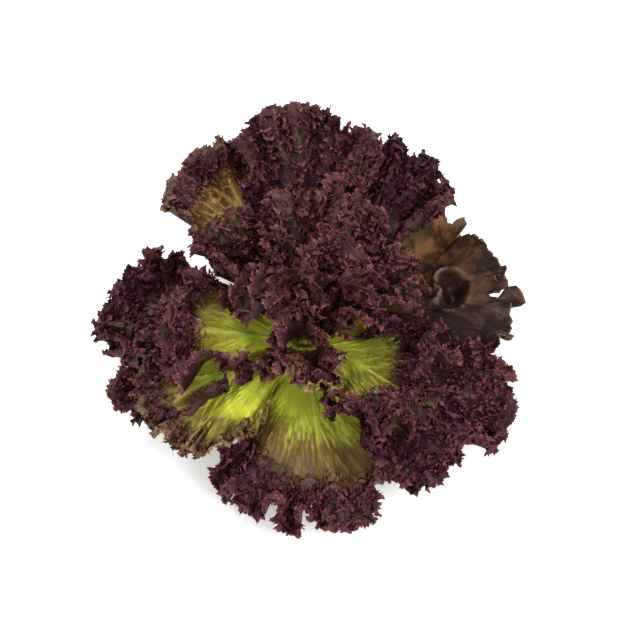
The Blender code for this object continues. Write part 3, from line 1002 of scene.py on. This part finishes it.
def inner_color(nodes, look, zone, vein, lines):
    """The inner blade: green that turns olive further out, with its veins and its net of small veins, whose
    creases are darkened with painted shade where the veins aren't raised.
    """
    raised = look.veins >= RAISED_VEINS
    green = nodes.mix(nodes.ramp(zone, *GREEN_DEEPENS), PALE_GREEN, MID_GREEN)
    olive = nodes.ramp(zone, look.olive_from, look.red_from, 0.0, look.olive)
    blade = nodes.mix(olive, green, OLIVE)
    vein_color = nodes.mix(olive, PALE_VEIN, ORANGE_VEIN)
    # Where the veins aren't raised, the net's creases are darkened with painted shade
    net_color = vein_color if raised else CREASE_SHADE
    shown = nodes.times(nodes.times(lines, olive), RAISED_NET_STRENGTH if raised else NET_STRENGTH)
    blade = nodes.mix(shown, blade, net_color)
    return nodes.mix(nodes.times(vein, look.veins), blade, vein_color)


def red_color(nodes, look, fringe, patches, specks):
    """The red: mottled, darker in patches, with painted shade in dark red or dark green between the folds and
    low on them, a grey-violet painted sheen there in places, and a painted highlight in specks on the folds'
    edges.
    Its hue drifts between violet and crimson."""
    reds = {key: between(COOL_REDS[key], WARM_REDS[key], look.warm) for key in COOL_REDS}
    drift = nodes.noise(nodes.place(), *DRIFT)
    red = nodes.mix(nodes.ramp(specks, *LIGHT_SPECKS), reds["dark"], reds["light"])
    red = nodes.mix(nodes.times(nodes.ramp(patches, *DARK_PATCHES), look.dark), red, reds["deep"])
    # Painted shade on the blade between the folds and low on them: dark red, and dark green in patches
    gaps = nodes.mix(nodes.ramp(patches, *GREEN_GLIMPSES), reds["deep"], SHADED_GREEN)
    # In patches the painted shade gives way to a grey-violet painted sheen
    gaps = nodes.mix(nodes.ramp(drift, *SHEEN_PATCHES), gaps, PAINTED_SHEEN)
    red = nodes.mix(nodes.ramp(fringe, *SHADE_BETWEEN_FOLDS), red, gaps)
    # A painted highlight, in specks, on the upper part of each fold up to its edge
    highlight = nodes.times(nodes.ramp(fringe, *HIGHLIGHTED_FOLD_EDGES), nodes.ramp(specks, *HIGHLIGHT_SPECKS))
    red = nodes.mix(nodes.times(highlight, HIGHLIGHT_STRENGTH - look.dark), red, reds["edge"])
    hue = nodes.ramp(drift, *HUE_DRIFT)
    return nodes.add("HueSaturation", {"Hue": hue, "Value": RED_VALUE, "Color": red})


def pale_margin(nodes, look, share, v, patches):
    """How pale the very margin is at each place: mostly on the side that the azimuth grows to."""
    pale = nodes.times(nodes.ramp(v, *PALE_BAND), nodes.ramp(patches, *PALE_PATCHES, look.pale))
    return nodes.times(pale, nodes.ramp(share, *PALE_SIDE))


def leaf_material(name, look, margin_length, blade_length):
    nodes = Nodes(name)
    share, v, vein, fringe = leaf_parts(nodes)
    here = nodes.place()
    patches = nodes.noise(here, *PATCHES)
    grain = nodes.noise(here, *GRAIN)
    specks = nodes.noise(here, *SPECKS)
    zone = nodes.math("MULTIPLY_ADD", share, -look.slant, nodes.math("ADD", v, 0.5 * look.slant))
    zone = nodes.shifted(zone, patches, PATCH_SHIFT)
    zone = nodes.shifted(zone, grain, GRAIN_SHIFT)
    zone = nodes.math("MULTIPLY_ADD", vein, VEIN_SHIFT, zone)
    raised = look.veins >= RAISED_VEINS
    width = RAISED_NET_WIDTH if raised else NET_WIDTH
    lines = net(nodes, share, v, margin_length / NET_CELL_WIDTH, blade_length / NET_CELL_LENGTH, width)
    inner = inner_color(nodes, look, zone, vein, lines)
    red = red_color(nodes, look, fringe, patches, specks)
    whole = nodes.mix(nodes.ramp(zone, look.red_from, look.red_full), inner, red)
    if look.pale:
        whole = nodes.mix(pale_margin(nodes, look, share, v, patches), whole, PALE_MARGIN)
    net_relief = RAISED_NET_RELIEF if raised else NET_RELIEF
    relief = nodes.math("MULTIPLY_ADD", lines, net_relief, nodes.times(grain, GRAIN_RELIEF))
    relief = nodes.math("MULTIPLY_ADD", specks, SPECK_RELIEF, relief)
    inputs = {
        "Base Color": whole,
        "Roughness": nodes.ramp(patches, *LEAF_ROUGHNESS),
        "Specular IOR Level": LEAF_SPECULAR,
        "Normal": nodes.bump(relief, *LEAF_BUMP),
    }
    return nodes.shade(inputs)


def brown_color(nodes, zone, side, spots, fringe):
    """The brown: almost black on one side and pale olive on the other, with warm patches between them, and a
    pale margin."""
    brown = nodes.mix(nodes.ramp(spots, *LIGHT_SPOTS), BROWN_DARK, BROWN_LIGHT)
    warmth = nodes.times(nodes.ramp(side, *WARM_SIDE), nodes.ramp(spots, *WARM_SPOTS))
    brown = nodes.mix(warmth, brown, BROWN_WARM)
    brown = nodes.mix(nodes.ramp(side, *BLACK_SIDE), brown, BROWN_BLACK)
    brown = nodes.mix(nodes.ramp(side, *OLIVE_SIDE), brown, BROWN_OLIVE)
    brown = nodes.mix(nodes.ramp(zone, *BLACK_HEART), brown, BROWN_BLACK)
    pale = nodes.times(nodes.ramp(zone, *EDGE_BAND), nodes.ramp(spots, *EDGE_SPOTS))
    brown = nodes.mix(pale, brown, BROWN_EDGE)
    return nodes.mix(nodes.ramp(fringe, *EDGE_LINE), brown, BROWN_EDGE)


def brown_leaf_material(name, margin_length, blade_length):
    """The smoother brown leaf, with a pale rim round its cup."""
    nodes = Nodes(name)
    share, v, vein, fringe = leaf_parts(nodes)
    here = nodes.place()
    patches = nodes.noise(here, *BROWN_PATCHES)
    spots = nodes.noise(here, *BROWN_SPOTS)
    grain = nodes.noise(here, *BROWN_GRAIN)
    zone = nodes.shifted(v, patches, BROWN_PATCH_SHIFT)
    side = nodes.shifted(share, patches, BROWN_PATCH_SHIFT)
    lines = net(nodes, share, v, margin_length / NET_CELL_LENGTH, blade_length / NET_CELL_LENGTH, NET_WIDTH)
    green = nodes.mix(nodes.ramp(zone, *BROWN_GREEN_DULLS), MID_GREEN, OLIVE)
    brown = brown_color(nodes, zone, side, spots, fringe)
    whole = nodes.mix(nodes.ramp(zone, *BROWN_STARTS), green, brown)
    whole = nodes.mix(nodes.times(vein, nodes.ramp(spots, *VEIN_SPOTS)), whole, BROWN_EDGE)
    relief = nodes.math("MULTIPLY_ADD", lines, BROWN_NET_RELIEF, nodes.times(grain, BROWN_GRAIN_RELIEF))
    inputs = {
        "Base Color": whole,
        "Roughness": nodes.ramp(grain, *BROWN_ROUGHNESS),
        "Specular IOR Level": BROWN_SPECULAR,
        "Normal": nodes.bump(relief, *BROWN_BUMP),
    }
    return nodes.shade(inputs)


def stem_material():
    """Pale flesh that is green further up, then darkened with painted shade inside the head, and faint brown
    rings on its cut face.
    """
    nodes = Nodes("stem_flesh_look")
    here = nodes.place()
    split = nodes.add("SeparateXYZ", {0: here}).node
    height = split.outputs[2]
    flat = nodes.add("CombineXYZ", {0: split.outputs[0], 1: split.outputs[1]})
    radius = nodes.add("VectorMath", {0: flat}, output="Value", operation="LENGTH")
    grain = nodes.noise(here, *STEM_GRAIN)
    ring = nodes.math("SINE", nodes.times(radius, TURN / CUT_RING_WIDTH))
    rings = nodes.ramp(nodes.math("MULTIPLY_ADD", ring, CUT_RING_STRENGTH, grain), *CUT_RINGS)
    face = nodes.mix(rings, CUT_BROWN, STEM_FLESH)
    green = nodes.mix(grain, PALE_GREEN, MID_GREEN)
    side = nodes.mix(nodes.ramp(height, *STEM_GREENS), STEM_FLESH, green)
    # Painted shade, olive to dark, further up where the stem is inside the head
    side = nodes.mix(nodes.ramp(height, *STEM_SHADE_RAMP), side, nodes.mix(grain, OLIVE, STEM_SHADE))
    whole = nodes.mix(nodes.ramp(height, *CUT_FACE), side, face)
    bump = nodes.bump(grain, *STEM_BUMP)
    return nodes.shade({"Base Color": whole, "Roughness": STEM_ROUGHNESS, "Normal": bump})


# The photograph's camera: how high it looks down from, the width that it frames, and what it looks at
CAMERA_ELEVATION = 62.0
CAMERA_LENS = 85.0
SENSOR_WIDTH = 36.0
FRAME_WIDTH = 0.640 * 0.613
FARTHEST_SEEN = 20.0
CAMERA_TARGET = (0.0086, -0.0012, 0.045)

# The studio: a white floor with a faint glow, so that its shadow stays faint, a white world and two lights
FLOOR_SIZE = 6.0
FLOOR_DROP = 0.0002
FLOOR_WHITES = (color(0.92, 0.92, 0.92), color(0.95, 0.95, 0.95))
FLOOR_ROUGHNESS = 0.9
FLOOR_GLOW = 0.30
WHITE = color(1.0, 1.0, 1.0)
WORLD_STRENGTH = 1.0
Light = namedtuple("Light", "name place size power")
LIGHTS = (
    Light("key_light", (-0.5, 0.5, 1.3), 0.7, 16.0),
    Light("fill_light", (0.9, -0.6, 1.0), 0.9, 13.0),
)
LIGHT_TARGET = (0.0, 0.0, 0.05)


def add_camera():
    data = bpy.data.cameras.new("camera")
    data.lens = CAMERA_LENS
    data.sensor_width = SENSOR_WIDTH
    data.clip_end = FARTHEST_SEEN
    camera = add_object("camera", data)
    tilt = math.radians(CAMERA_ELEVATION)
    distance = FRAME_WIDTH * CAMERA_LENS / SENSOR_WIDTH
    back = Vector((0.0, -math.cos(tilt), math.sin(tilt)))
    camera.location = Vector(CAMERA_TARGET) + back * distance
    camera.rotation_euler = (math.radians(90.0) - tilt, 0.0, 0.0)
    bpy.context.scene.camera = camera


def add_light(name, place, size, power):
    data = bpy.data.lights.new(name, "AREA")
    data.shape = "DISK"
    data.size = size
    data.energy = power
    light = add_object(name, data)
    light.location = place
    light.rotation_euler = (Vector(LIGHT_TARGET) - Vector(place)).to_track_quat("-Z", "Y").to_euler()


def floor_material():
    nodes = Nodes("floor_white")
    grain = nodes.noise(nodes.place(), *FLOOR_GRAIN)
    inputs = {
        "Base Color": nodes.mix(grain, *FLOOR_WHITES),
        "Roughness": FLOOR_ROUGHNESS,
        "Emission Color": WHITE,
        "Emission Strength": FLOOR_GLOW,
    }
    return nodes.shade(inputs)


def add_floor():
    half = 0.5 * FLOOR_SIZE
    corners = [(x * half, y * half, -FLOOR_DROP) for x, y in ((-1, -1), (1, -1), (1, 1), (-1, 1))]
    mesh = bpy.data.meshes.new("floor")
    mesh.from_pydata(corners, [], [(0, 1, 2, 3)])
    mesh.materials.append(floor_material())
    floor = add_object("floor", mesh)


def add_studio():
    add_floor()
    world = bpy.data.worlds.new("world")
    bpy.context.scene.world = world
    world.use_nodes = True
    background = world.node_tree.nodes["Background"]
    background.inputs["Color"].default_value = WHITE
    background.inputs["Strength"].default_value = WORLD_STRENGTH
    for light in LIGHTS:
        add_light(*light)
    bpy.context.scene.view_settings.view_transform = "Standard"


def main():
    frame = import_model()
    sheets = [Sheet(leaf) for leaf in LEAVES]
    trees = [sheet.tree() for sheet in sheets]
    for number, sheet in enumerate(sheets):
        name = sheet.leaf.name
        look = LOOKS.get(name, USUAL_LOOK)
        blade = leaf_object(sheet, look, trees[:number] + trees[number + 1 :], number)
        if name == BROWN_LEAF:
            material = brown_leaf_material(name + "_look", sheet.margin_length, sheet.length)
        else:
            material = leaf_material(name + "_look", look, sheet.margin_length, sheet.length)
        blade.data.materials.append(material)
        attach(blade, "root")
        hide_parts(name)
    frame["nodes"]["stem"].data.materials.clear()
    frame["nodes"]["stem"].data.materials.append(stem_material())
    add_studio()
    add_camera()


main()
